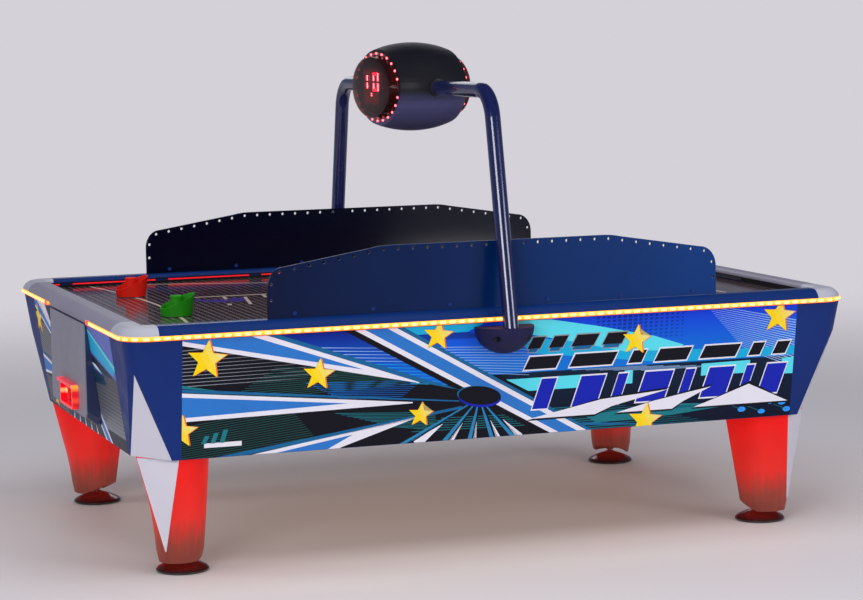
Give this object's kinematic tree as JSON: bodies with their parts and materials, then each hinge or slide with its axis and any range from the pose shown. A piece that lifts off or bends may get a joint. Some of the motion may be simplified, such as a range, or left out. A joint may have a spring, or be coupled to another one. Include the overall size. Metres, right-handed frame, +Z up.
{
  "type": "air hockey table",
  "caption": "Full-size air hockey table on splayed legs, with lit rails, side guards, puck return consoles and an overhead scoreboard on an arch.",
  "frame": {"origin": "on the floor, under the middle of the table", "axes": "+X along the table's length, +Y across it towards the rear side, +Z up"},
  "size_m": [2.548, 2, 1.67],
  "materials": {
    "navy_panel": "gloss laminated board with printed artwork",
    "white_laminate": "satin white",
    "navy_tube": "high gloss navy powder coat",
    "bracket_plastic": "gloss dark navy moulding",
    "bolt_steel": "blackened steel",
    "leg_red": "gloss red paint",
    "foot_black": "gloss black",
    "rail_navy": "gloss navy moulding",
    "rail_grey": "satin grey moulding",
    "cap_grey": "satin light grey moulding",
    "led_amber": "lit amber strip",
    "led_red": "lit red strip",
    "field": "polished black laminate with air holes",
    "tray_board": "plain board",
    "cabinet_board": "black laminated board",
    "machine_steel": "galvanised steel",
    "black_plastic": "textured black moulding",
    "console_navy": "gloss navy moulding",
    "console_grey": "satin grey sheet",
    "ring_red": "lit translucent red moulding",
    "guard_navy": "gloss dark navy sheet",
    "shell_black": "gloss black ribbed moulding",
    "lens_smoke": "smoked dome",
    "mallet_red": "gloss red moulding",
    "mallet_green": "gloss green moulding",
    "felt": "dark felt",
    "puck_red": "gloss red disc"
  },
  "bodies": {
    "table": {"side_panel_front": "navy_panel", "side_panel_rear": "navy_panel", "end_panel_left": "navy_panel", "end_panel_right": "navy_panel", "corner_posts": "navy_panel", "white_corner_plates": "white_laminate", "arch_tube_front": "navy_tube", "arch_tube_rear": "navy_tube", "arch_crossbar": "navy_tube", "arch_bracket_front": "bracket_plastic", "arch_bracket_rear": "bracket_plastic", "arch_bolts": "bolt_steel", "leg_bolts": "bolt_steel", "guard_screws": "bolt_steel", "leg_front_left": "leg_red", "leg_front_right": "leg_red", "leg_rear_left": "leg_red", "leg_rear_right": "leg_red", "side_rail_front": "rail_navy", "side_rail_rear": "rail_navy", "end_rail_left": "rail_grey", "end_rail_right": "rail_grey", "corner_caps": "cap_grey", "led_strips": "led_amber", "rail_light_strips": "led_red", "scoreboard_light_rings": "led_red", "score_digits": "led_red", "playfield": "field", "plenum_tray": "tray_board", "bottom_board": "cabinet_board", "power_inlet": "black_plastic", "intake_grille": "black_plastic", "display_boards": "black_plastic", "scoreboard_collars": "black_plastic", "goal_chute_left": "black_plastic", "goal_chute_right": "black_plastic", "blower_housing": "machine_steel", "blower_motor": "machine_steel", "control_box": "machine_steel", "console_left": "console_navy", "console_right": "console_navy", "console_fascias": "console_grey", "return_ring_left": "ring_red", "return_ring_right": "ring_red", "guard_front": "guard_navy", "guard_rear": "guard_navy", "scoreboard_shell_left": "shell_black", "scoreboard_shell_right": "shell_black", "scoreboard_bezels": "shell_black", "scoreboard_lenses": "lens_smoke"},
    "blower_impeller": {"blower_impeller": "machine_steel"},
    "mallet_red": {"mallet_red": "mallet_red", "mallet_red_felt": "felt"},
    "mallet_green": {"mallet_green": "mallet_green", "mallet_green_felt": "felt"},
    "puck": {"puck": "puck_red"},
    "foot_front_left": {"foot_front_left": "foot_black"},
    "foot_front_right": {"foot_front_right": "foot_black"},
    "foot_rear_left": {"foot_rear_left": "foot_black"},
    "foot_rear_right": {"foot_rear_right": "foot_black"}
  },
  "joints": [
    {"name": "foot_front_left_turn", "type": "hinge", "parent": "table", "child": "foot_front_left", "pos_m": [-1.02978, -0.65578, 0.05], "axis": [0, 0, 1], "continuous": true},
    {"name": "foot_front_right_turn", "type": "hinge", "parent": "table", "child": "foot_front_right", "pos_m": [1.02978, -0.65578, 0.05], "axis": [0, 0, 1], "continuous": true},
    {"name": "foot_rear_left_turn", "type": "hinge", "parent": "table", "child": "foot_rear_left", "pos_m": [-1.02978, 0.65578, 0.05], "axis": [0, 0, 1], "continuous": true},
    {"name": "foot_rear_right_turn", "type": "hinge", "parent": "table", "child": "foot_rear_right", "pos_m": [1.02978, 0.65578, 0.05], "axis": [0, 0, 1], "continuous": true},
    {"name": "blower_spin", "type": "hinge", "parent": "table", "child": "blower_impeller", "pos_m": [0, 0, 0.6], "axis": [0, 0, 1], "continuous": true},
    {"name": "mallet_red_slide", "type": "slide", "parent": "table", "child": "mallet_red", "axis": [1, 0, 0], "range_m": [-0.155, 2.045]},
    {"name": "mallet_green_slide", "type": "slide", "parent": "table", "child": "mallet_green", "axis": [1, 0, 0], "range_m": [-0.155, 2.045]},
    {"name": "puck_out", "type": "slide", "parent": "table", "child": "puck", "axis": [1, 0, 0], "range_m": [0, 0.15]}
  ]
}
